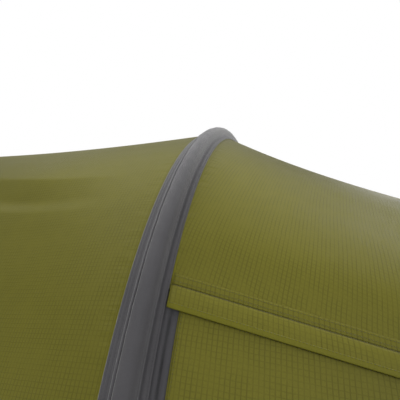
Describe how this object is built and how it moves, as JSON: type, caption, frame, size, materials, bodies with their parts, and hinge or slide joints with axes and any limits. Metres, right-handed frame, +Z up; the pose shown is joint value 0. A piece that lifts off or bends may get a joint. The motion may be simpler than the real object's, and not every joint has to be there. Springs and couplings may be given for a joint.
{
  "type": "two-person tunnel tent",
  "caption": "Pitched tunnel tent with pole hoops in grey sleeves, an olive outer tent with a zipped side door and a hung inner tent.",
  "frame": {"origin": "on the ground at the middle of the pitched tent's length and width", "axes": "+X along the tent towards the porch, +Y to the side away from the porch door, +Z up"},
  "size_m": [3.787, 1.66, 1.0691],
  "materials": {
    "fly": "coated ripstop, soft sheen",
    "sleeve": "plain weave",
    "zip_tape": "woven tape",
    "alloy": "anodised",
    "zip_metal": "die-cast, satin",
    "plastic": "moulded",
    "groundsheet": "coated",
    "inner_cloth": "light breathable cloth",
    "net": "fine net",
    "webbing": "woven webbing"
  },
  "bodies": {
    "tent": {"main_canopy": "fly", "rear_canopy": "fly", "porch_canopy": "fly", "front_wall": "fly", "main_sleeve": "sleeve", "rear_sleeve": "sleeve", "front_sleeve": "sleeve", "door_zip_fixed_tape": "zip_tape", "main_pole_section_1": "alloy", "main_pole_section_2": "alloy", "main_pole_section_3": "alloy", "main_pole_section_4": "alloy", "main_pole_section_5": "alloy", "rear_pole_section_1": "alloy", "rear_pole_section_2": "alloy", "rear_pole_section_3": "alloy", "rear_pole_section_4": "alloy", "rear_pole_section_5": "alloy", "front_pole_section_1": "alloy", "front_pole_section_2": "alloy", "front_pole_section_3": "alloy", "front_pole_section_4": "alloy", "main_pole_cup_near": "plastic", "main_pole_cup_far": "plastic", "rear_pole_cup_near": "plastic", "rear_pole_cup_far": "plastic", "front_pole_cup_near": "plastic", "front_pole_cup_far": "plastic", "main_strap_buckle_near": "plastic", "rear_strap_buckle_near": "plastic", "front_strap_buckle_near": "plastic", "groundsheet": "groundsheet", "inner_canopy": "inner_cloth", "inner_front_wall": "inner_cloth", "rear_vent_net": "net", "main_foot_strap_near": "webbing", "main_foot_strap_far": "webbing", "rear_foot_strap_near": "webbing", "rear_foot_strap_far": "webbing", "front_foot_strap_near": "webbing", "front_foot_strap_far": "webbing", "main_guy_loop_near": "webbing", "main_guy_loop_far": "webbing", "rear_guy_loop_near": "webbing", "rear_guy_loop_far": "webbing", "nose_peg_loop_near": "webbing", "nose_peg_loop_far": "webbing", "tail_peg_loop_near": "webbing", "tail_peg_loop_far": "webbing", "inner_hanger_front": "webbing", "inner_hanger_rear": "webbing"},
    "porch_door": {"porch_door": "fly", "door_zip_door_tape": "zip_tape"},
    "storm_flap": {"door_storm_flap": "fly"},
    "door_slider": {"door_zip_slider": "zip_metal"},
    "inner_door": {"inner_door": "net"},
    "inner_slider": {"inner_zip_slider": "zip_metal"},
    "vent_hood": {"rear_vent_hood": "fly", "rear_vent_lip_rod": "plastic"}
  },
  "joints": [
    {"name": "porch_door_fold", "type": "hinge", "parent": "tent", "child": "porch_door", "pos_m": [0.6735, -0.741, 0.02943], "axis": [-0.9867, -0.1625, 0.0105], "range_deg": [0, 74]},
    {"name": "storm_flap_lift", "type": "hinge", "parent": "tent", "child": "storm_flap", "pos_m": [0.65172, -0.57079, 0.70412], "axis": [-0.9627, -0.1211, 0.2419], "range_deg": [0, 150]},
    {"name": "door_slider_run", "type": "slide", "parent": "tent", "child": "door_slider", "axis": [-0.9636, -0.123, 0.2373], "range_m": [0, 0.735]},
    {"name": "inner_door_fold", "type": "hinge", "parent": "tent", "child": "inner_door", "pos_m": [0.5683, 0, 0.13336], "axis": [0, 1, 0], "range_deg": [0, 100]},
    {"name": "inner_slider_run", "type": "hinge", "parent": "tent", "child": "inner_slider", "pos_m": [0.54828, 0, 0.41966], "axis": [-0.9976, 0, -0.0698], "range_deg": [0, 180]},
    {"name": "vent_hood_lift", "type": "hinge", "parent": "tent", "child": "vent_hood", "pos_m": [-0.73984, 0, 0.9154], "axis": [0, 1, 0], "range_deg": [-22, 12]}
  ]
}
